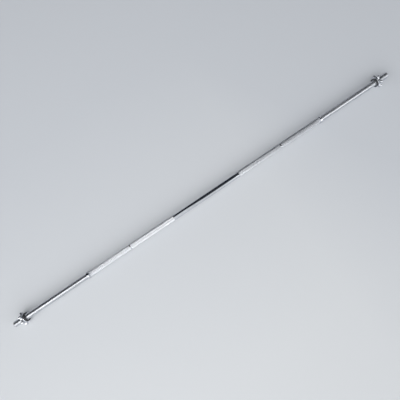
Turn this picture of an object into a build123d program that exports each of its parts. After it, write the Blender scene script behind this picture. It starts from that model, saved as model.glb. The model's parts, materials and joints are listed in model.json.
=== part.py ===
from build123d import *
from math import atan2, cos, pi, sin
import os

# A straight steel weight bar with screw ends: one solid shaft, a fixed inner
# collar pinned near each end of the grip, and on each threaded sleeve a
# six-lobed star collar that screws along it behind a rubber ring.
# Millimetres. X runs along the shaft, Z is up, the origin is the shaft's middle.

# shaft
shaft_length = 2200.0
shaft_diameter = 28.0
tip_chamfer = 2.5
plain_centre_length = 384.0
ring_mark_spacing = 886.0
ring_mark_width = 6.0
knurl_rise = 0.15  # how far rolled knurling stands above the plain steel

# inner collars
grip_length = 1356.0  # between the two inner collars' facing sides
inner_collar_width = 12.0
inner_collar_diameter = 36.0
inner_collar_clearance = 0.04  # all round the shaft

# the roll pin that locks each inner collar to the shaft
pin_diameter = 5.0
pin_wall = 1.0
pin_slot = 0.8
pin_chamfer = 0.4
pin_clearance = 0.03  # all round the pin
pin_recess = 1.0  # how far the pin's ends lie below the collar's rim

# star collars
# from each plate's middle plane to the end of the shaft: as left by hand, so uneven
tip_beyond_left_star = 50.0
tip_beyond_right_star = 62.0
thread_clearance = 0.08  # all round the sleeve
lobe_count = 6
lobe_tip_radius = 34.0
lobe_round_radius = 8.0
valley_radius = 23.0  # from the axis to a valley's floor
plate_thickness = 12.0
plate_bevel = 3.0  # turned on both faces, so only the lobes' ends have it
boss_diameter = 44.0
boss_height = 3.5
boss_bevel = 0.8
neck_wall = 2.2
bore_chamfer = 1.0

# rubber rings
ring_diameter = 43.0
ring_thickness = 7.7
ring_seat_clearance = 0.3  # between the rubber and the star's boss and neck
neck_recess = 2.5  # how far the neck stops short of the rubber's clamping face

# sizes that follow from the ones above
shaft_radius = shaft_diameter / 2
knurl_radius = shaft_radius + knurl_rise
shaft_end = shaft_length / 2
centre_end = plain_centre_length / 2
mark_start = (ring_mark_spacing - ring_mark_width) / 2
mark_end = (ring_mark_spacing + ring_mark_width) / 2
grip_end = grip_length / 2
inner_collar_radius = inner_collar_diameter / 2
inner_collar_middle = grip_end + inner_collar_width / 2
pin_radius = pin_diameter / 2
pin_hole_radius = pin_radius + pin_clearance
pin_length = inner_collar_diameter - 2 * pin_recess
star_bore_radius = shaft_radius + thread_clearance
neck_radius = star_bore_radius + neck_wall
neck_height = ring_seat_clearance + ring_thickness - neck_recess
ring_bore_radius = neck_radius + ring_seat_clearance
lobe_ring_radius = lobe_tip_radius - lobe_round_radius
half_step = pi / lobe_count  # from a lobe to the valley beside it
valley_ring_height = lobe_ring_radius * cos(half_step)
# the radius of the one arc that touches two lobes and the valley's floor
valley_round_radius = (
    lobe_ring_radius**2
    + valley_radius**2
    - 2 * valley_radius * valley_ring_height
    - lobe_round_radius**2
) / (2 * (lobe_round_radius + valley_ring_height - valley_radius))
plate_half = plate_thickness / 2
boss_face = plate_half + boss_height


def side_plane(side, distance):
    """A plane square to the shaft that faces outward on one side: -1 left, 1 right."""
    return Plane(origin=(side * distance, 0, 0), x_dir=(0, 1, 0), z_dir=(side, 0, 0))


def around(radius, angle):
    """The point at that distance from a star's axis, at that angle in radians."""
    return Vector(radius * cos(angle), radius * sin(angle))


def save(piece, name):
    """Labels a finished piece and writes it as one STEP file."""
    piece.part.label = name
    export_step(piece.part, f"parts/{name}.step")


os.makedirs("parts", exist_ok=True)

# The shaft is one turned bar. Its outline steps up where the grip is knurled,
# and back down at the plain centre and at the two ring marks.
with BuildPart() as bar_shaft:
    with BuildSketch(Plane.XZ):
        with BuildLine():
            half_outline = Polyline(
                (0, shaft_radius),
                (centre_end, shaft_radius),
                (centre_end, knurl_radius),
                (mark_start, knurl_radius),
                (mark_start, shaft_radius),
                (mark_end, shaft_radius),
                (mark_end, knurl_radius),
                (grip_end, knurl_radius),
                (grip_end, shaft_radius),
                (shaft_end - tip_chamfer, shaft_radius),
                (shaft_end, shaft_radius - tip_chamfer),
                (shaft_end, 0),
            )
            mirror(half_outline, about=Plane.YZ)
            Line((-shaft_end, 0), (shaft_end, 0))
        make_face()
    revolve(axis=Axis.X)
    with BuildSketch(Plane.XZ):
        with Locations((-inner_collar_middle, 0), (inner_collar_middle, 0)):
            Circle(pin_hole_radius)
    extrude(amount=shaft_diameter, both=True, mode=Mode.SUBTRACT)
save(bar_shaft, "bar_shaft")

# Two alike slotted spring-steel tubes, each driven level through ring and shaft.
with BuildPart() as collar_pins:
    with BuildSketch(Plane.XZ):
        with Locations((-inner_collar_middle, 0), (inner_collar_middle, 0)):
            Circle(pin_radius)
    extrude(amount=pin_length / 2, both=True)
    chamfer(collar_pins.edges().filter_by(GeomType.CIRCLE), pin_chamfer)
    with BuildSketch(Plane.XZ):
        with Locations((-inner_collar_middle, 0), (inner_collar_middle, 0)):
            Circle(pin_radius - pin_wall)
            with Locations((0, pin_radius - pin_wall / 2)):
                Rectangle(pin_slot, 2 * pin_wall)
    extrude(amount=pin_length / 2, both=True, mode=Mode.SUBTRACT)
save(collar_pins, "collar_pins")

# Where a lobe's arc meets the valley's arc, on the line between their centres.
lobe_centre = around(lobe_ring_radius, 0)
valley_centre = around(valley_radius + valley_round_radius, half_step)
meeting = lobe_centre + (valley_centre - lobe_centre).normalized() * lobe_round_radius
meeting_radius = meeting.length
meeting_angle = atan2(meeting.Y, meeting.X)

for side, side_name, tip_beyond_star in (
    (-1, "left", tip_beyond_left_star),
    (1, "right", tip_beyond_right_star),
):
    # A turned ring that butts against the end of the knurling.
    with BuildPart() as inner_collar:
        with BuildSketch(side_plane(side, grip_end)):
            Circle(inner_collar_radius)
        extrude(amount=inner_collar_width)
        with BuildSketch(side_plane(side, grip_end)):
            Circle(shaft_radius + inner_collar_clearance)
        extrude(amount=inner_collar_width, mode=Mode.SUBTRACT)
        with BuildSketch(Plane.XZ):
            with Locations((side * inner_collar_middle, 0)):
                Circle(pin_hole_radius)
        extrude(amount=inner_collar_diameter, both=True, mode=Mode.SUBTRACT)
    save(inner_collar, f"{side_name}_inner_collar")

    # The star: a plate whose outline is round lobes joined by round valleys, with
    # a boss and a thin neck on its inner side for the rubber ring.
    star_middle = shaft_end - tip_beyond_star
    with BuildPart() as star_collar:
        with BuildSketch(side_plane(side, star_middle - plate_half)):
            with BuildLine():
                for lobe in range(lobe_count):
                    tip = 2 * half_step * lobe
                    valley = tip + half_step
                    ThreePointArc(
                        around(meeting_radius, tip - meeting_angle),
                        around(lobe_tip_radius, tip),
                        around(meeting_radius, tip + meeting_angle),
                    )
                    ThreePointArc(
                        around(meeting_radius, tip + meeting_angle),
                        around(valley_radius, valley),
                        around(meeting_radius, tip + 2 * half_step - meeting_angle),
                    )
            make_face()
        extrude(amount=plate_thickness)
        with BuildSketch(Plane.XZ):
            with Locations((side * star_middle, lobe_tip_radius / 2)):
                plate_section = Rectangle(plate_thickness, lobe_tip_radius)
            chamfer(plate_section.vertices().group_by(Axis.Y)[-1], plate_bevel)
        revolve(axis=Axis.X, mode=Mode.INTERSECT)
        with BuildSketch(side_plane(side, star_middle - plate_half)):
            Circle(boss_diameter / 2)
        extrude(amount=-boss_height)
        boss_rim = star_collar.edges(Select.LAST).filter_by(GeomType.CIRCLE).sort_by(Axis.X)
        chamfer(boss_rim[0 if side > 0 else -1], boss_bevel)
        with BuildSketch(side_plane(side, star_middle - boss_face)):
            Circle(neck_radius)
        extrude(amount=-neck_height)
        with BuildSketch(side_plane(side, star_middle + plate_half)):
            Circle(star_bore_radius)
        extrude(amount=-plate_thickness - boss_height - neck_height, mode=Mode.SUBTRACT)
        bore_rims = star_collar.edges(Select.LAST).filter_by(GeomType.CIRCLE).sort_by(Axis.X)
        chamfer(bore_rims[-1 if side > 0 else 0], bore_chamfer)
    save(star_collar, f"{side_name}_star_collar")

    # The rubber ring sits round the neck and stands proud of it, so that only
    # rubber meets the weight plate.
    with BuildPart() as rubber_ring:
        with BuildSketch(side_plane(side, star_middle - boss_face - ring_seat_clearance)):
            Circle(ring_diameter / 2)
            Circle(ring_bore_radius, mode=Mode.SUBTRACT)
        extrude(amount=-ring_thickness)
    save(rubber_ring, f"{side_name}_rubber_ring")
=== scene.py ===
import json
import math
from types import SimpleNamespace

import bmesh
import bpy
from mathutils import Matrix, Vector


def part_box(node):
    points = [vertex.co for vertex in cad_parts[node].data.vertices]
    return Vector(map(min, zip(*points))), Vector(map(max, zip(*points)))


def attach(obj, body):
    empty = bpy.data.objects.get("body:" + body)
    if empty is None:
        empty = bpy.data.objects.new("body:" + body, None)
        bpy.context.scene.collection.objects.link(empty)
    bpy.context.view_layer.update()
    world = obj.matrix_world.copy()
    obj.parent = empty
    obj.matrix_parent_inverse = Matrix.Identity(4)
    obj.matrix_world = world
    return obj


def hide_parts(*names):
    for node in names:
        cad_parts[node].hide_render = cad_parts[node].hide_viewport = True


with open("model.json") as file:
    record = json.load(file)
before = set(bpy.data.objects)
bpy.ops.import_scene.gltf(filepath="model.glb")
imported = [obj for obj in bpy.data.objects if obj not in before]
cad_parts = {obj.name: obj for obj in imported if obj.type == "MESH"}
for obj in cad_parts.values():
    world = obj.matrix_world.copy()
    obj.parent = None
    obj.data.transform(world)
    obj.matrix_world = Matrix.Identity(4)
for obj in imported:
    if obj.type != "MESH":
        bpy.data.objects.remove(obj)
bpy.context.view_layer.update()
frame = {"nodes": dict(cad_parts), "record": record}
scene = bpy.context.scene
mm = 0.001
fullTurn = 2 * math.pi
print("frame loaded,", len(frame["nodes"]), "nodes")

# Places and sizes that the frame already knows.
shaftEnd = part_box("bar_shaft")[1].x
gripEnd, sleeveStart = (corner.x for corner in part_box("right_inner_collar"))
mounts = {mount["name"]: mount for mount in frame["record"]["mounts"]}
plainRadius = mounts["right_sleeve"]["dims"]["r_mm"] * mm
knurlRadius = mounts["grip"]["dims"]["r_mm"] * mm


def addNode(tree, kind, sockets=None, **settings):
    made = tree.nodes.new("ShaderNode" + kind)
    for name, value in settings.items():
        setattr(made, name, value)
    for name, value in (sockets or {}).items():
        if isinstance(value, bpy.types.NodeSocket):
            tree.links.new(value, made.inputs[name])
        else:
            made.inputs[name].default_value = value
    return made


def maths(tree, operation, first, second=0.0):
    made = addNode(tree, "Math", {0: first, 1: second}, operation=operation, use_clamp=False)
    return made.outputs[0]


def remap(tree, value, low, high, toLow=0.0, toHigh=1.0):
    limits = {"Value": value, "From Min": low, "From Max": high, "To Min": toLow, "To Max": toHigh}
    return addNode(tree, "MapRange", limits).outputs["Result"]


def blendColours(tree, mask, first, second):
    made = addNode(tree, "Mix", {"Factor": mask}, data_type="RGBA")
    for socket, value in zip((made.inputs[6], made.inputs[7]), (first, second)):
        if isinstance(value, bpy.types.NodeSocket):
            tree.links.new(value, socket)
        else:
            socket.default_value = (*value, 1.0)
    return made.outputs[2]


def inMillimetres(tree):
    place = addNode(tree, "TexCoord").outputs["Object"]
    scaled = addNode(tree, "VectorMath", {0: place, "Scale": 1 / mm}, operation="SCALE")
    return scaled.outputs["Vector"]


def noiseAt(tree, vector, scale, detail=3.0, roughness=0.55):
    settings = {"Vector": vector, "Scale": scale, "Detail": detail, "Roughness": roughness}
    return addNode(tree, "TexNoise", settings).outputs["Fac"]


def startGroup(name, inputs, outputs):
    tree = bpy.data.node_groups.new(name, "ShaderNodeTree")
    for label, value in inputs.items():
        socket = tree.interface.new_socket(label, in_out="INPUT", socket_type="NodeSocketFloat")
        socket.default_value = value
    for label in outputs:
        tree.interface.new_socket(label, in_out="OUTPUT", socket_type="NodeSocketFloat")
    given = tree.nodes.new("NodeGroupInput")
    result = tree.nodes.new("NodeGroupOutput")
    return tree, given.outputs, result.inputs


def placeGroup(tree, group, **values):
    made = addNode(tree, "Group", node_tree=group)
    for name, value in values.items():
        made.inputs[name].default_value = value
    return made.outputs


def axisDistanceGroup():
    # how far a point lies from the bar's own axis, in millimetres
    tree, _, result = startGroup("axisDistance", {}, ["Distance"])
    parts = addNode(tree, "SeparateXYZ", {"Vector": inMillimetres(tree)}).outputs
    squares = [maths(tree, "MULTIPLY", parts[axis], parts[axis]) for axis in "YZ"]
    total = maths(tree, "ADD", *squares)
    tree.links.new(maths(tree, "SQRT", total), result["Distance"])
    return tree


def hairScratchesGroup():
    # two crossing sets of broken hairlines
    tree, given, result = startGroup("hairScratches", {"Scale": 1.0, "Amount": 0.5}, ["Mask"])
    lineWidth, patchScale, patchEdge = 0.007, 0.06, (0.42, 0.6)
    turnAndStretch = (
        ((0.2, 0.0, 0.35), (0.05, 1.0, 1.0)),
        ((0.9, 0.4, 0.1), (1.0, 0.06, 0.5)),
    )
    place = inMillimetres(tree)
    sets = []
    for turn, stretch in turnAndStretch:
        mapped = addNode(tree, "Mapping", {"Vector": place, "Rotation": turn, "Scale": stretch})
        lines = noiseAt(tree, mapped.outputs["Vector"], given["Scale"], detail=2.0)
        offLine = maths(tree, "ABSOLUTE", maths(tree, "SUBTRACT", lines, 0.5))
        sets.append(remap(tree, offLine, 0.0, lineWidth, 1.0, 0.0))
    both = maths(tree, "MAXIMUM", *sets)
    patches = remap(tree, noiseAt(tree, place, patchScale), *patchEdge)
    broken = maths(tree, "MULTIPLY", both, patches)
    tree.links.new(maths(tree, "MULTIPLY", broken, given["Amount"]), result["Mask"])
    return tree


def handSmudgesGroup():
    # cloudy patches where hands and cloths have been
    tree, given, result = startGroup("handSmudges", {"Scale": 1.0, "Sharpness": 0.5}, ["Mask"])
    middle, softEdge, hardEdge = 0.53, 0.25, 0.04
    cloud = noiseAt(tree, inMillimetres(tree), given["Scale"], detail=6.0, roughness=0.62)
    halfWidth = remap(tree, given["Sharpness"], 0.0, 1.0, softEdge, hardEdge)
    low = maths(tree, "SUBTRACT", middle, halfWidth)
    high = maths(tree, "ADD", middle, halfWidth)
    tree.links.new(remap(tree, cloud, low, high), result["Mask"])
    return tree


def settledDustGroup():
    # dust and lint specks, thicker on faces that look up
    tree, given, result = startGroup("settledDust", {"Scale": 1.0, "Amount": 0.5}, ["Mask"])
    speckEdge, hazeScale, hazeEdge, mostHaze = (0.66, 0.72), 0.05, (0.4, 0.75), 0.3
    bareBelow, fullAbove = -0.2, 0.9  # how far a face looks up
    place = inMillimetres(tree)
    specks = remap(tree, noiseAt(tree, place, given["Scale"], detail=1.0), *speckEdge)
    haze = remap(tree, noiseAt(tree, place, hazeScale, detail=4.0), *hazeEdge, 0.0, mostHaze)
    normal = addNode(tree, "NewGeometry").outputs["Normal"]
    facing = addNode(tree, "SeparateXYZ", {"Vector": normal}).outputs["Z"]
    upward = remap(tree, facing, bareBelow, fullAbove)
    dust = maths(tree, "MULTIPLY", maths(tree, "MAXIMUM", specks, haze), upward)
    tree.links.new(maths(tree, "MULTIPLY", dust, given["Amount"]), result["Mask"])
    return tree


def turningLinesGroup():
    # the lathe's and grinder's fine rings round the bar
    tree, given, result = startGroup("turningLines", {"Spacing": 0.2}, ["Height"])
    alongRing = 0.012  # the lines are this much slower round the bar than along it
    stretch = (1.0, alongRing, alongRing)
    mapped = addNode(tree, "Mapping", {"Vector": inMillimetres(tree), "Scale": stretch})
    perMillimetre = maths(tree, "DIVIDE", 1.0, given["Spacing"])
    lines = noiseAt(tree, mapped.outputs["Vector"], perMillimetre, detail=2.0, roughness=0.7)
    tree.links.new(lines, result["Height"])
    return tree


axisDistance = axisDistanceGroup()
hairScratches = hairScratchesGroup()
handSmudges = handSmudgesGroup()
settledDust = settledDustGroup()
turningLines = turningLinesGroup()
print("shared effects ready")


def startMaterial(name):
    material = bpy.data.materials.new(name)
    material.use_nodes = True
    tree = material.node_tree
    tree.nodes.clear()
    surface = addNode(tree, "BsdfPrincipled")
    output = addNode(tree, "OutputMaterial")
    tree.links.new(surface.outputs["BSDF"], output.inputs["Surface"])
    return material, tree, surface


def raiseSurface(tree, surface, height, depth, below=None):
    # bump of that depth, over the bump that is already there
    sockets = {"Height": height, "Distance": depth, "Strength": 1.0}
    if below is not None:
        sockets["Normal"] = below
    normal = addNode(tree, "Bump", sockets).outputs["Normal"]
    tree.links.new(normal, surface.inputs["Normal"])
    return normal


polishedChromeLook = {
    "colour": (0.755, 0.775, 0.815), "clean": 0.03,
    "smudged": (0.65, 0.67, 0.7), "dull": 0.1, "smudgeScale": 0.035, "smudgeSharpness": 0.3,
    "scratchScale": 0.9, "scratches": 0.5, "scratchRough": 0.18, "scratchDepth": 0.003 * mm,
    "dust": (0.62, 0.62, 0.62), "dustScale": 1.6, "dustAmount": 0.2,
    "dustRough": 0.5, "dustMetal": 0.1,
    "lineSpacing": 0.25, "lineDepth": 0.002 * mm,
}


def chromeSurface(name, look):
    # plating with smudges, hairlines and dust; what lies under it is added by each finish
    material, tree, surface = startMaterial(name)
    smudges = {"Scale": look["smudgeScale"], "Sharpness": look["smudgeSharpness"]}
    hairlines = {"Scale": look["scratchScale"], "Amount": look["scratches"]}
    settled = {"Scale": look["dustScale"], "Amount": look["dustAmount"]}
    smudge = placeGroup(tree, handSmudges, **smudges)["Mask"]
    scratch = placeGroup(tree, hairScratches, **hairlines)["Mask"]
    dust = placeGroup(tree, settledDust, **settled)["Mask"]
    colour = blendColours(tree, smudge, look["colour"], look["smudged"])
    rough = remap(tree, smudge, 0.0, 1.0, look["clean"], look["dull"])
    rough = maths(tree, "ADD", rough, maths(tree, "MULTIPLY", scratch, look["scratchRough"]))
    return SimpleNamespace(material=material, tree=tree, surface=surface, colour=colour,
                           rough=rough, scratch=scratch, dust=dust)


def addLayer(chrome, mask, colour, extraRough):
    # dirt or wear, over the plating and under its dust
    tree = chrome.tree
    chrome.colour = blendColours(tree, mask, chrome.colour, colour)
    chrome.rough = maths(tree, "ADD", chrome.rough, maths(tree, "MULTIPLY", mask, extraRough))


def finishChrome(chrome, look):
    tree, inputs, dust = chrome.tree, chrome.surface.inputs, chrome.dust
    tree.links.new(blendColours(tree, dust, chrome.colour, look["dust"]), inputs["Base Color"])
    dusty = maths(tree, "ADD", chrome.rough, maths(tree, "MULTIPLY", dust, look["dustRough"]))
    tree.links.new(dusty, inputs["Roughness"])
    tree.links.new(remap(tree, dust, 0.0, 1.0, 1.0, look["dustMetal"]), inputs["Metallic"])


def linedChrome(name, look):
    # plating over ground or turned steel
    chrome = chromeSurface(name, look)
    finishChrome(chrome, look)
    lines = placeGroup(chrome.tree, turningLines, Spacing=look["lineSpacing"])["Height"]
    lined = raiseSurface(chrome.tree, chrome.surface, lines, look["lineDepth"])
    raiseSurface(chrome.tree, chrome.surface, chrome.scratch, -look["scratchDepth"], below=lined)
    return chrome.material


turnedChromeLook = {
    **polishedChromeLook, "colour": (0.695, 0.71, 0.745), "clean": 0.09, "dull": 0.17,
    "smudgeScale": 0.09, "scratches": 0.8, "scratchDepth": 0.004 * mm,
    "lineSpacing": 0.35, "lineDepth": 0.006 * mm,
}

# In the two rolled finishes the dirt's reach is given as distances from the bar's axis in
# millimetres: full at the first and gone at the second.

# thread: bright crests, old oil and dust down in the grooves
threadChromeLook = {
    **polishedChromeLook, "clean": 0.11, "dull": 0.24, "scratches": 0.4, "dustAmount": 0.25,
    "dirt": (0.2, 0.195, 0.185), "dirtReach": (12.7, 13.5), "dirtShare": 0.75, "dirtRough": 0.35,
    "patchScale": 0.12, "patchEdge": (0.3, 0.62), "leastDirt": 0.35,
    "grain": 2.5, "grainDepth": 0.006 * mm,
}

# knurl: peaks rubbed bright, valleys packed with chalk and skin dust
knurlChromeLook = {
    **polishedChromeLook, "colour": (0.86, 0.88, 0.915), "smudged": (0.785, 0.8, 0.83),
    "clean": 0.25, "dull": 0.31, "scratches": 0.2, "dustAmount": 0.1,
    "dirt": (0.6, 0.605, 0.61), "dirtReach": (13.84, 14.0), "dirtShare": 0.35, "dirtRough": 0.15,
    "patchScale": 0.045, "patchEdge": (0.3, 0.65), "leastDirt": 0.4,
    "grain": 6.0, "grainDepth": 0.01 * mm,
}


def rolledChrome(name, look):
    chrome = chromeSurface(name, look)
    tree, place = chrome.tree, inMillimetres(chrome.tree)
    distance = placeGroup(tree, axisDistance)["Distance"]
    depth = remap(tree, distance, *look["dirtReach"], 1.0, 0.0)
    patches = noiseAt(tree, place, look["patchScale"], detail=5.0)
    patchy = remap(tree, patches, *look["patchEdge"], look["leastDirt"], 1.0)
    dirt = maths(tree, "MULTIPLY", maths(tree, "MULTIPLY", depth, patchy), look["dirtShare"])
    addLayer(chrome, dirt, look["dirt"], look["dirtRough"])
    finishChrome(chrome, look)
    raiseSurface(tree, chrome.surface, noiseAt(tree, place, look["grain"]), look["grainDepth"])
    return chrome.material


castChromeLook = {
    **polishedChromeLook, "colour": (0.77, 0.79, 0.83), "clean": 0.06, "dull": 0.18,
    "smudgeScale": 0.06, "scratches": 0.7, "dustAmount": 0.3, "scratchDepth": 0.004 * mm,
    "waves": 0.14, "waveDepth": 0.09 * mm,
    "pits": 1.1, "pitEdge": (0.3, 0.4), "pitDepth": 0.02 * mm,
    "worn": (0.5, 0.5, 0.51), "wornReach": (29.0, 33.5), "wornRough": 0.3,
    "knocks": 0.7, "knockEdge": (0.56, 0.64),
}


def castChrome(name, look):
    # plated casting: soft waves under the plating, small pits, knocks on the lobes' ends
    chrome = chromeSurface(name, look)
    tree, surface, place = chrome.tree, chrome.surface, inMillimetres(chrome.tree)
    distance = placeGroup(tree, axisDistance)["Distance"]
    knocks = remap(tree, noiseAt(tree, place, look["knocks"], detail=4.0), *look["knockEdge"])
    worn = maths(tree, "MULTIPLY", knocks, remap(tree, distance, *look["wornReach"]))
    addLayer(chrome, worn, look["worn"], look["wornRough"])
    finishChrome(chrome, look)
    swell = noiseAt(tree, place, look["waves"], detail=1.0)
    waves = raiseSurface(tree, surface, swell, look["waveDepth"])
    pits = remap(tree, noiseAt(tree, place, look["pits"], detail=2.0), *look["pitEdge"])
    pitted = raiseSurface(tree, surface, pits, look["pitDepth"], below=waves)
    marks = maths(tree, "ADD", chrome.scratch, worn)
    raiseSurface(tree, surface, marks, -look["scratchDepth"], below=pitted)
    return chrome.material


rubberLook = {
    "colour": (0.018, 0.02, 0.026), "smooth": 0.5,
    "chalky": (0.062, 0.066, 0.075), "dry": 0.78, "bloomScale": 0.12, "bloomSharpness": 0.2,
    "dust": (0.3, 0.29, 0.27), "dustScale": 1.3, "dustAmount": 0.3,
    "grain": 3.2, "grainDepth": 0.03 * mm,
}


def mouldedRubber(name, look):
    material, tree, surface = startMaterial(name)
    blooms = {"Scale": look["bloomScale"], "Sharpness": look["bloomSharpness"]}
    settled = {"Scale": look["dustScale"], "Amount": look["dustAmount"]}
    bloom = placeGroup(tree, handSmudges, **blooms)["Mask"]
    dust = placeGroup(tree, settledDust, **settled)["Mask"]
    colour = blendColours(tree, bloom, look["colour"], look["chalky"])
    tree.links.new(blendColours(tree, dust, colour, look["dust"]), surface.inputs["Base Color"])
    rough = remap(tree, bloom, 0.0, 1.0, look["smooth"], look["dry"])
    tree.links.new(rough, surface.inputs["Roughness"])
    grain = noiseAt(tree, inMillimetres(tree), look["grain"], detail=4.0)
    raiseSurface(tree, surface, grain, look["grainDepth"])
    return material


springSteelLook = {
    "colour": (0.36, 0.35, 0.34), "oxide": (0.16, 0.13, 0.11),
    "oxideScale": 0.35, "oxideSharpness": 0.4,
    "drawn": (6.0, 0.15, 6.0), "lineEdge": (0.3, 0.7), "lineDepth": 0.01 * mm,
    "smooth": 0.3, "rough": 0.55,
}


def springSteel(name, look):
    # drawn lines run along the pin, which lies across the bar
    material, tree, surface = startMaterial(name)
    surface.inputs["Metallic"].default_value = 1.0
    drawn = addNode(tree, "Mapping", {"Vector": inMillimetres(tree), "Scale": look["drawn"]})
    lines = noiseAt(tree, drawn.outputs["Vector"], 1.0)
    patches = {"Scale": look["oxideScale"], "Sharpness": look["oxideSharpness"]}
    oxide = placeGroup(tree, handSmudges, **patches)["Mask"]
    colour = blendColours(tree, oxide, look["colour"], look["oxide"])
    tree.links.new(colour, surface.inputs["Base Color"])
    rough = remap(tree, lines, *look["lineEdge"], look["smooth"], look["rough"])
    tree.links.new(rough, surface.inputs["Roughness"])
    raiseSurface(tree, surface, lines, look["lineDepth"])
    return material


materials = {
    "polished": linedChrome("polishedChrome", polishedChromeLook),
    "thread": rolledChrome("threadChrome", threadChromeLook),
    "knurl": rolledChrome("knurlChrome", knurlChromeLook),
    "cast": castChrome("castChrome", castChromeLook),
    "turned": linedChrome("turnedChrome", turnedChromeLook),
    "rubber": mouldedRubber("mouldedRubber", rubberLook),
    "spring": springSteel("springSteel", springSteelLook),
}
print("materials ready:", len(materials))


def onRing(x, radius, angle):
    return (x, radius * math.cos(angle), radius * math.sin(angle))


def evenAngles(count):
    return [fullTurn * step / count for step in range(count)]


def joinRings(rings, closed=False):
    # quads between neighbouring rings of points, all with the same count
    count = len(rings[0])
    points = [point for ring in rings for point in ring]
    faces = []
    for level in range(len(rings) if closed else len(rings) - 1):
        here, above = level * count, (level + 1) % len(rings) * count
        for step in range(count):
            after = (step + 1) % count
            faces.append((here + step, here + after, above + after, above + step))
    return points, faces


def spin(profile, count, closed=False):
    # a turned shape from (x, radius) pairs; open profiles start and end on the axis
    angles = evenAngles(count)
    rings = [[onRing(x, radius, angle) for angle in angles] for x, radius in profile]
    return joinRings(rings, closed)


def corner(x, radius, rounding, start, end, steps=6):
    # an arc of a turned profile round the centre (x, radius), angles in degrees
    turns = [math.radians(start + (end - start) * step / steps) for step in range(steps + 1)]
    return [(x + rounding * math.cos(turn), radius + rounding * math.sin(turn)) for turn in turns]


def closeMesh(mesh):
    # merges points that meet, drops slivers, and fills what is still open
    meeting, sliver = 0.0015 * mm, 0.0005 * mm
    work = bmesh.new()
    work.from_mesh(mesh)
    bmesh.ops.remove_doubles(work, verts=work.verts, dist=meeting)
    bmesh.ops.dissolve_degenerate(work, edges=work.edges, dist=sliver)
    openEdges = [edge for edge in work.edges if edge.is_boundary]
    if openEdges:
        bmesh.ops.holes_fill(work, edges=openEdges, sides=0)
    bmesh.ops.recalc_face_normals(work, faces=work.faces)
    work.to_mesh(mesh)
    work.free()


hardEdge = 40  # the least angle between two faces that makes a hard edge, in degrees


def addPiece(name, shape, material, body, node, sharp=hardEdge):
    # sharp is this piece's own such angle, or 0 for flat faces
    points, faces = shape
    mesh = bpy.data.meshes.new(name)
    mesh.from_pydata(points, [], faces)
    closeMesh(mesh)
    mesh.materials.append(material)
    if sharp:
        mesh.shade_smooth()
        mesh.set_sharp_from_angle(angle=math.radians(sharp))
    else:
        mesh.shade_flat()
    piece = bpy.data.objects.new(name, mesh)
    scene.collection.objects.link(piece)
    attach(piece, body)
    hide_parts(node)
    return piece


def addShaftPiece(name, shape, material, sharp=hardEdge):
    addPiece(name, shape, material, "bar", "bar_shaft", sharp)


thread = {
    "pitch": 4.0 * mm,
    "crest": plainRadius,
    "depth": 1.3 * mm,
    "gap": 0.1 * mm,  # how far the star's own thread keeps clear of the sleeve's
    # share of the pitch, share of the depth: flat crests, sloped flanks, round roots
    "profile": [
        (0.0, 1.0), (0.3, 1.0), (0.36, 0.9), (0.52, 0.08),
        (0.58, 0.0), (0.72, 0.0), (0.78, 0.08), (0.94, 0.9),
    ],
}


def threadSurface(start, end, angles, radiusAt):
    # An open tube whose rows climb with the thread, one pitch each turn, right-handed
    # about +X. Rows beyond either end are held there, and merge into its rim.
    pitch, profile = thread["pitch"], thread["profile"]
    rows = []
    for turn in range(math.floor(start / pitch) - 2, math.ceil(end / pitch) + 2):
        for share, height in profile:
            rows.append((pitch * (turn + share), height))
    points = []
    for row, height in rows:
        for angle in angles:
            x = min(max(row + pitch * angle / fullTurn, start), end)
            points.append(onRing(x, radiusAt(x, height), angle))
    count, step = len(angles), len(profile)
    faces = []
    for level in range(len(rows) - 1):
        for place in range(count):
            after = place + 1
            above = level
            if after == count:
                after, above = 0, level + step
            if above + 1 < len(rows):
                corners = (level * count + place, above * count + after,
                           (above + 1) * count + after, (level + 1) * count + place)
                if len({points[number][0] for number in corners}) > 1:
                    faces.append(corners)
    return points, faces


shaft = {
    "plainCentreLength": 384 * mm,
    "markSpacing": 886 * mm,
    "markWidth": 6 * mm,
    "shoulder": 0.4 * mm,
    "around": 128,
}
knurl = {
    "across": 0.8 * mm,  # half a diamond round the bar
    "along": 0.85 * mm,  # half a diamond along it
    "valleyRadius": plainRadius - 0.18 * mm,
}
sleeve = {
    "around": 72,
    "runout": 3 * mm,  # where the thread fades in beside the inner collar
    "tipChamfer": 2.5 * mm,
}


def plainLength(start, end):
    # a smooth stretch with eased shoulders down to its end faces
    eased = shaft["shoulder"]
    profile = [(start, 0), (start, plainRadius - eased)]
    profile += corner(start + eased, plainRadius - eased, eased, 180, 90)
    profile += corner(end - eased, plainRadius - eased, eased, 90, 0)
    profile += [(end, plainRadius - eased), (end, 0)]
    return spin(profile, shaft["around"])


def knurlLength(start, end):
    # Rolled diamonds: every other point is a peak, and each cell is split along its
    # valley, so that a peak gets four flat sides.
    around = 2 * round(fullTurn * knurlRadius / knurl["across"] / 2)
    along = 2 * round((end - start) / knurl["along"] / 2)
    angles = evenAngles(around)
    rings = []
    heights = (knurlRadius, knurl["valleyRadius"])
    for row in range(along + 1):
        x = start + (end - start) * row / along
        radii = [heights[(row + place) % 2] for place in range(around)]
        if row in (0, along):
            radii = [knurl["valleyRadius"]] * around
        rings.append([onRing(x, radius, angle) for radius, angle in zip(radii, angles)])
    points, quads = joinRings(rings)
    faces = []
    for number, (a, b, c, d) in enumerate(quads):
        row, place = divmod(number, around)
        if (row + place) % 2 == 0:
            faces += [(a, b, d), (b, c, d)]
        else:
            faces += [(a, b, c), (a, c, d)]
    return points, faces


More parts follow.
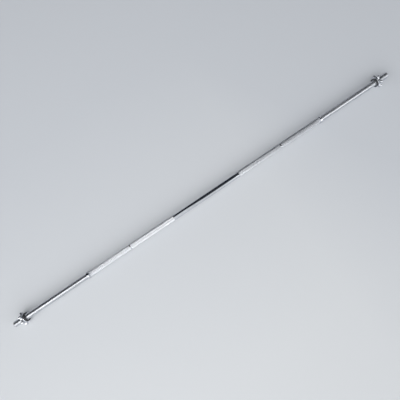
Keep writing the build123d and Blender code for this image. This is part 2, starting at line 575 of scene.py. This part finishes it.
def sleeveLength(side):
    tip, inner = side * shaftEnd, side * gripEnd
    root = thread["crest"] - thread["depth"]

    def radiusAt(x, height):
        fromCollar = abs(x) - sleeveStart
        share = min(max(fromCollar / sleeve["runout"], 0), 1)
        radius = root + thread["depth"] * (1 - share * (1 - height))
        fromTip = shaftEnd - abs(x)
        return min(radius, thread["crest"] - sleeve["tipChamfer"] + fromTip)

    start, end = sorted((tip, inner))
    return threadSurface(start, end, evenAngles(sleeve["around"]), radiusAt)


centreEnd = shaft["plainCentreLength"] / 2
markStart = (shaft["markSpacing"] - shaft["markWidth"]) / 2
markEnd = (shaft["markSpacing"] + shaft["markWidth"]) / 2
addShaftPiece("plainCentre", plainLength(-centreEnd, centreEnd), materials["polished"])
for side, sideName in ((-1, "left"), (1, "right")):
    ends = sorted((side * markStart, side * markEnd))
    addShaftPiece(sideName + "RingMark", plainLength(*ends), materials["polished"])
    ends = sorted((side * centreEnd, side * markStart))
    addShaftPiece(sideName + "InnerKnurl", knurlLength(*ends), materials["knurl"], sharp=0)
    ends = sorted((side * markEnd, side * gripEnd))
    addShaftPiece(sideName + "OuterKnurl", knurlLength(*ends), materials["knurl"], sharp=0)
    addShaftPiece(sideName + "Sleeve", sleeveLength(side), materials["thread"], sharp=20)
print("shaft made")


innerCollar = {
    "rounding": 1.5 * mm,
    "boreEase": 0.4 * mm,
    "clearance": 0.04 * mm,
    "around": 144,
}
drill = {
    "diameter": 5.06 * mm,
    "length": 60 * mm,
    "around": 48,
}


def turnedRing(start, end, bore, outside, rounding, boreEase, count, middle=()):
    # a closed ring with rounded outer rims and eased bore rims
    profile = corner(end - rounding, outside - rounding, rounding, 0, 90)
    profile += list(middle)
    profile += corner(start + rounding, outside - rounding, rounding, 90, 180)
    profile += corner(start + boreEase, bore + boreEase, boreEase, 180, 270, steps=3)
    profile += corner(end - boreEase, bore + boreEase, boreEase, 270, 360, steps=3)
    return spin(profile, count, closed=True)


def drillAcross(piece, x):
    # cuts the cross hole for the roll pin, level through both walls
    level = Matrix.Translation((x, 0, 0)) @ Matrix.Rotation(math.pi / 2, 4, "X")
    radius = drill["diameter"] / 2
    work = bmesh.new()
    bmesh.ops.create_cone(work, cap_ends=True, segments=drill["around"], radius1=radius,
                          radius2=radius, depth=drill["length"], matrix=level)
    drillMesh = bpy.data.meshes.new("drill")
    work.to_mesh(drillMesh)
    work.free()
    cutter = bpy.data.objects.new("drill", drillMesh)
    scene.collection.objects.link(cutter)
    cut = piece.modifiers.new("pinHole", "BOOLEAN")
    cut.operation, cut.solver, cut.object = "DIFFERENCE", "EXACT", cutter
    bpy.context.view_layer.update()
    evaluated = piece.evaluated_get(bpy.context.evaluated_depsgraph_get())
    drilled = bpy.data.meshes.new_from_object(evaluated)
    closeMesh(drilled)
    piece.modifiers.clear()
    piece.data = drilled
    piece.data.set_sharp_from_angle(angle=math.radians(hardEdge))
    bpy.data.objects.remove(cutter)
    bpy.data.meshes.remove(drillMesh)


for sideName in ("left", "right"):
    node = sideName + "_inner_collar"
    low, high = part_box(node)
    shape = turnedRing(low.x, high.x, plainRadius + innerCollar["clearance"], high.z,
                       innerCollar["rounding"], innerCollar["boreEase"], innerCollar["around"])
    name = sideName + "InnerCollar"
    ring = addPiece(name, shape, materials["turned"], "bar", node)
    drillAcross(ring, (low.x + high.x) / 2)

pins = frame["nodes"]["collar_pins"]
pins.data.materials.clear()
pins.data.materials.append(materials["spring"])
print("inner collars and pins made")


rubberRing = {
    "rounding": 1.2 * mm,
    "boreEase": 0.5 * mm,
    "wall": 4.92 * mm,
    # the mould's parting line: its height, and half its width at the foot and the top
    "lineHeight": 0.12 * mm,
    "lineFoot": 0.25 * mm,
    "lineTop": 0.08 * mm,
    "around": 128,
}

for sideName in ("left", "right"):
    node = sideName + "_rubber_ring"
    low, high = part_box(node)
    middle = (low.x + high.x) / 2
    outside = high.z - rubberRing["lineHeight"]
    foot, top = rubberRing["lineFoot"], rubberRing["lineTop"]
    line = [(middle + foot, outside), (middle + top, high.z), (middle - top, high.z),
            (middle - foot, outside)]
    shape = turnedRing(low.x, high.x, high.z - rubberRing["wall"], outside, rubberRing["rounding"],
                       rubberRing["boreEase"], rubberRing["around"], middle=line)
    body = sideName + "_ring"
    addPiece(sideName + "RubberRing", shape, materials["rubber"], body, node)
print("rubber rings made")


star = {
    "lobes": 6,
    "tipRadius": 34.0 * mm,
    "lobeRound": 8.0 * mm,
    "valleyRadius": 23.0 * mm,
    "plateHalf": 6.0 * mm,
    "rimRound": 3.4 * mm,
    "draft": 0.15 * mm,  # how far the sides lean in from the middle to each rim
    "bossRadius": 22.0 * mm,
    "bossHeight": 3.5 * mm,
    "bossRound": 0.8 * mm,
    "neckWall": 2.2 * mm,
    "neckFillet": 0.5 * mm,
    "neckRound": 0.4 * mm,
    "neckMouth": 0.3 * mm,
    "boreClearance": 0.08 * mm,
    "boreChamfer": 1.0 * mm,
    "lobeSteps": 20,
    "valleySteps": 14,
    "faceSteps": 5,
    "rimSteps": 7,
}


def starOutline(inset):
    # Round lobes joined by round valleys, as (radius, angle). An inset outline keeps the
    # arcs' centres, so its points lie beside those of the full one.
    lobeCentre = star["tipRadius"] - star["lobeRound"]
    half = math.pi / star["lobes"]
    level = lobeCentre * math.cos(half)
    valley = star["valleyRadius"]
    valleyRound = (lobeCentre**2 + valley**2 - 2 * valley * level - star["lobeRound"] ** 2)
    valleyRound /= 2 * (star["lobeRound"] + level - valley)
    tip = Vector((lobeCentre, 0))
    hollow = Vector((math.cos(half), math.sin(half))) * (valley + valleyRound)
    swing = math.atan2(*reversed(hollow - tip))  # direction from the lobe's centre to the valley's
    outline = []
    for lobe in range(star["lobes"]):
        turn = 2 * half * lobe
        for step in range(star["lobeSteps"]):
            angle = -swing + 2 * swing * step / star["lobeSteps"]
            outline.append((tip, star["lobeRound"] - inset, angle, turn))
        for step in range(star["valleySteps"]):
            first, last = math.pi + swing, math.pi + 2 * half - swing
            angle = first + (last - first) * step / star["valleySteps"]
            outline.append((hollow, valleyRound + inset, angle, turn))
    points = []
    for centre, radius, angle, turn in outline:
        point = centre + Vector((math.cos(angle), math.sin(angle))) * radius
        points.append((point.length, math.atan2(point.y, point.x) + turn))
    return points


def starShape(side, middle, neckEnd):
    angles = [angle for radius, angle in starOutline(0)]
    plateHalf, bossRadius = star["plateHalf"], star["bossRadius"]
    rimRound, rimSteps, draft = star["rimRound"], star["rimSteps"], star["draft"]
    bossFace = plateHalf + star["bossHeight"]
    boreRadius = plainRadius + star["boreClearance"]
    neckRadius = boreRadius + star["neckWall"]
    boreMouth = boreRadius + star["boreChamfer"]
    neckMouth = boreRadius + star["neckMouth"]
    rings = []

    def circle(outward, radius):
        rings.append([onRing(middle + side * outward, radius, angle) for angle in angles])

    def outlineRing(outward, inset, atLeast=0.0):
        x, outline = middle + side * outward, starOutline(inset)
        rings.append([onRing(x, max(radius, atLeast), angle) for radius, angle in outline])

    def face(first, last):
        # rings spaced evenly between two that are already known
        for step in range(1, star["faceSteps"]):
            share = step / star["faceSteps"]
            rings.append([tuple(Vector(a).lerp(Vector(b), share)) for a, b in zip(first, last)])

    # outer face, from the bore's mouth to the rim
    circle(plateHalf, boreMouth)
    outerFace = middle + side * plateHalf
    edge = [onRing(outerFace, radius, angle) for radius, angle in starOutline(rimRound)]
    face(rings[-1], edge)
    # round the rim, down the side and round the inner rim
    for step in range(rimSteps + 1):
        swing = math.pi / 2 * step / rimSteps
        inset = rimRound - (rimRound - draft) * math.sin(swing)
        outlineRing(plateHalf - rimRound + rimRound * math.cos(swing), inset)
    outlineRing(0, 0)
    for step in range(rimSteps + 1):
        swing = math.pi / 2 * step / rimSteps
        inset = rimRound - (rimRound - draft) * math.cos(swing)
        outlineRing(-plateHalf + rimRound - rimRound * math.sin(swing), inset, bossRadius)
    foot = [onRing(middle - side * plateHalf, bossRadius, angle) for angle in angles]
    face(rings[-1], foot)
    rings.append(foot)
    # boss, neck and the neck's mouth
    bossRound, neckFillet, neckRound = star["bossRound"], star["neckFillet"], star["neckRound"]
    arcs = corner(-bossFace + bossRound, bossRadius - bossRound, bossRound, 90, 180)
    arcs += corner(-bossFace - neckFillet, neckRadius + neckFillet, neckFillet, 0, -90, steps=3)
    arcs += corner(-neckEnd + neckRound, neckRadius - neckRound, neckRound, 90, 180, steps=3)
    for outward, radius in arcs:
        circle(outward, radius)
    circle(-neckEnd, neckMouth)
    points, faces = joinRings(rings)

    # the bore, threaded to run on the sleeve
    def radiusAt(x, height):
        root = thread["crest"] - thread["depth"]
        radius = root + thread["depth"] * height + thread["gap"]
        outward = side * (x - middle)
        fromMouth = boreMouth - (plateHalf - outward)
        fromNeck = neckMouth - (outward + neckEnd)
        return max(radius, fromMouth, fromNeck)

    start, end = sorted((outerFace, middle - side * neckEnd))
    ordered = sorted(angle % fullTurn for angle in angles)
    borePoints, boreFaces = threadSurface(start, end, ordered, radiusAt)
    offset = len(points)
    boreFaces = [tuple(number + offset for number in corners) for corners in boreFaces]
    return points + borePoints, faces + boreFaces


for side, sideName in ((-1, "left"), (1, "right")):
    node = sideName + "_star_collar"
    low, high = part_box(node)
    outer, neckEnd = (high.x, low.x) if side > 0 else (low.x, high.x)
    middle = outer - side * star["plateHalf"]
    name, body = sideName + "StarCollar", sideName + "_star"
    shape = starShape(side, middle, abs(middle - neckEnd))
    addPiece(name, shape, materials["cast"], body, node, sharp=35)
print("star collars made")


floorLook = {
    "size": 60.0,
    "near": (0.676, 0.698, 0.721),
    "far": (0.588, 0.615, 0.654),
    "across": (-0.8, 0.8),  # painted shade, from the near side to the darker far side, square to the bar
    "rightEndPaintedShade": (0.3, 0.9),  # and painted shade, in part, along it to its right end
    "rightShade": 0.7,
    "cloudScale": 1.3,
    "cloudShade": 0.1,
    "roughness": 0.9,
    "specular": 0.1,
    "fade": (2.5, 6.0),  # how far out the floor starts and ends its fade into the room
}

# Directions in the room are parts of a unit vector: X to the right end, Y to the far side.
room = {
    "dark": (0.02, 0.023, 0.031),
    "leanReach": (-0.1, 0.05),
    "lean": (-0.12, 0.41),  # the dark part leans over to the near side on the right
    "edge": (-0.07, 0.07),
    "middleWall": (0.72, 0.735, 0.76),
    "endWall": (0.92, 0.94, 0.97),
    "wallReach": (0.05, 0.55),
    "strip": (0.6, 0.61, 0.63),  # a paler strip of ceiling over the right sleeve
    "stripMiddle": 0.495,
    "stripEdge": (0.028, 0.045),
    "window": (2.8, 2.82, 2.85),  # high up beyond the left end
    "windowSide": (-0.82, -0.66),
    "windowSill": (0.25, 0.4),
    "horizon": (0.62, 0.63, 0.65),
}

lampColour = (1.0, 0.985, 0.96)
# each lamp's place, size, power, and whether the chrome mirrors it
lamps = {
    "overhead": ((-1.2, -0.1, 4.2), 1.4, 48.0, False),
    "lowFill": ((-2.0, -4.5, 2.4), 2.4, 36.0, False),
    "leftLamp": ((-3.2, -1.5, 3.6), 3.0, 54.0, True),
    "rightLamp": ((3.4, -3.8, 3.2), 3.0, 38.0, True),
}


def paleSheet():
    look = floorLook
    material, tree, surface = startMaterial("paleSheet")
    place = addNode(tree, "TexCoord").outputs["Object"]
    parts = addNode(tree, "SeparateXYZ", {"Vector": place}).outputs
    # the sheet's colour darkens from the near side to the far side: painted shade
    across = remap(tree, parts["Y"], *look["across"])
    # and darkens towards the bar's right end: painted shade
    rightEndPaintedShade = remap(tree, parts["X"], *look["rightEndPaintedShade"], 0.0, look["rightShade"])
    cloud = noiseAt(tree, place, look["cloudScale"], detail=4.0)
    cloudy = maths(tree, "MULTIPLY", cloud, look["cloudShade"])
    shade = maths(tree, "ADD", maths(tree, "ADD", across, rightEndPaintedShade), cloudy)
    colour = blendColours(tree, shade, look["near"], look["far"])
    tree.links.new(colour, surface.inputs["Base Color"])
    surface.inputs["Roughness"].default_value = look["roughness"]
    surface.inputs["Specular IOR Level"].default_value = look["specular"]
    # far from the bar the sheet is seen fading into the room's own colour
    away = addNode(tree, "VectorMath", {0: place}, operation="LENGTH").outputs["Value"]
    cameraRay = addNode(tree, "LightPath").outputs["Is Camera Ray"]
    faded = maths(tree, "MULTIPLY", remap(tree, away, *look["fade"]), cameraRay)
    distant = addNode(tree, "Emission", {"Color": (*room["horizon"], 1.0)})
    output = surface.outputs["BSDF"].links[0].to_socket
    sockets = {0: faded, 1: surface.outputs["BSDF"], 2: distant.outputs[0]}
    tree.links.new(addNode(tree, "MixShader", sockets).outputs[0], output)
    return material


def addFloor():
    half = floorLook["size"] / 2
    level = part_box("right_star_collar")[0].z
    corners = [(x * half, y * half, level) for x, y in ((-1, -1), (1, -1), (1, 1), (-1, 1))]
    mesh = bpy.data.meshes.new("floor")
    mesh.from_pydata(corners, [], [(0, 1, 2, 3)])
    mesh.materials.append(paleSheet())
    floor = bpy.data.objects.new("floor", mesh)
    scene.collection.objects.link(floor)


def addRoom():
    # a dim room overhead and behind, and a bright wall on the near side
    world = bpy.data.worlds.new("room")
    world.use_nodes = True
    scene.world = world
    tree = world.node_tree
    tree.nodes.clear()
    outward = addNode(tree, "TexCoord").outputs["Generated"]
    direction = addNode(tree, "SeparateXYZ", {"Vector": outward}).outputs
    lean = remap(tree, direction["X"], *room["leanReach"], *room["lean"])
    nearSide = remap(tree, maths(tree, "ADD", direction["Y"], lean), *room["edge"], 1.0, 0.0)
    beside = maths(tree, "SUBTRACT", direction["X"], room["stripMiddle"])
    strip = remap(tree, maths(tree, "ABSOLUTE", beside), *room["stripEdge"], 1.0, 0.0)
    overhead = blendColours(tree, strip, room["dark"], room["strip"])
    endward = remap(tree, maths(tree, "ABSOLUTE", direction["X"]), *room["wallReach"])
    wall = blendColours(tree, endward, room["middleWall"], room["endWall"])
    sky = blendColours(tree, nearSide, overhead, wall)
    leftward = remap(tree, direction["X"], *room["windowSide"], 1.0, 0.0)
    raised = remap(tree, direction["Z"], *room["windowSill"])
    sky = blendColours(tree, maths(tree, "MULTIPLY", leftward, raised), sky, room["window"])
    # the camera itself sees one plain colour
    lit = addNode(tree, "Background", {"Color": sky})
    seen = addNode(tree, "Background", {"Color": (*room["horizon"], 1.0)})
    cameraRay = addNode(tree, "LightPath").outputs["Is Camera Ray"]
    sockets = {0: cameraRay, 1: lit.outputs[0], 2: seen.outputs[0]}
    mixed = addNode(tree, "MixShader", sockets)
    output = addNode(tree, "OutputWorld")
    tree.links.new(mixed.outputs[0], output.inputs["Surface"])


def addLamps():
    for name, (place, size, power, mirrored) in lamps.items():
        lamp = bpy.data.lights.new(name, "AREA")
        lamp.energy = power
        lamp.size = size
        lamp.color = lampColour
        made = bpy.data.objects.new(name, lamp)
        made.location = place
        made.visible_glossy = mirrored
        made.rotation_euler = Vector(place).to_track_quat("Z", "Y").to_euler()
        scene.collection.objects.link(made)


view = {
    "slant": 33.92,  # how steeply the bar climbs to the right, in degrees
    "recede": 2.4,  # how much the right end leans away
    "lean": 6.0,  # how far the camera looks forward from straight down
    "height": 1.5277,
    "lens": 28.0,
    "aside": 0.0209,  # the bar's middle, right of the view's middle, as a share of the height
    "above": 0.0133,
}


def addCamera():
    slant, recede, lean = (math.radians(view[name]) for name in ("slant", "recede", "lean"))
    along = Vector((math.cos(slant), math.sin(slant), 0)) * math.cos(recede)
    along.z = -math.sin(recede)
    up = Vector((0, math.sin(lean), math.cos(lean)))
    up = (up - along * up.dot(along)).normalized()
    turn = Matrix((along, up.cross(along), up))  # rows are the bar's axes as the camera sees them
    centre = Vector((view["aside"], view["above"], -1)) * view["height"]
    camera = bpy.data.objects.new("camera", bpy.data.cameras.new("camera"))
    camera.data.lens = view["lens"]
    camera.matrix_world = Matrix.Translation(-(turn @ centre)) @ turn.to_4x4()
    scene.collection.objects.link(camera)
    scene.camera = camera


addFloor()
addRoom()
addLamps()
addCamera()
scene.view_settings.view_transform = "Standard"
print("stage set")
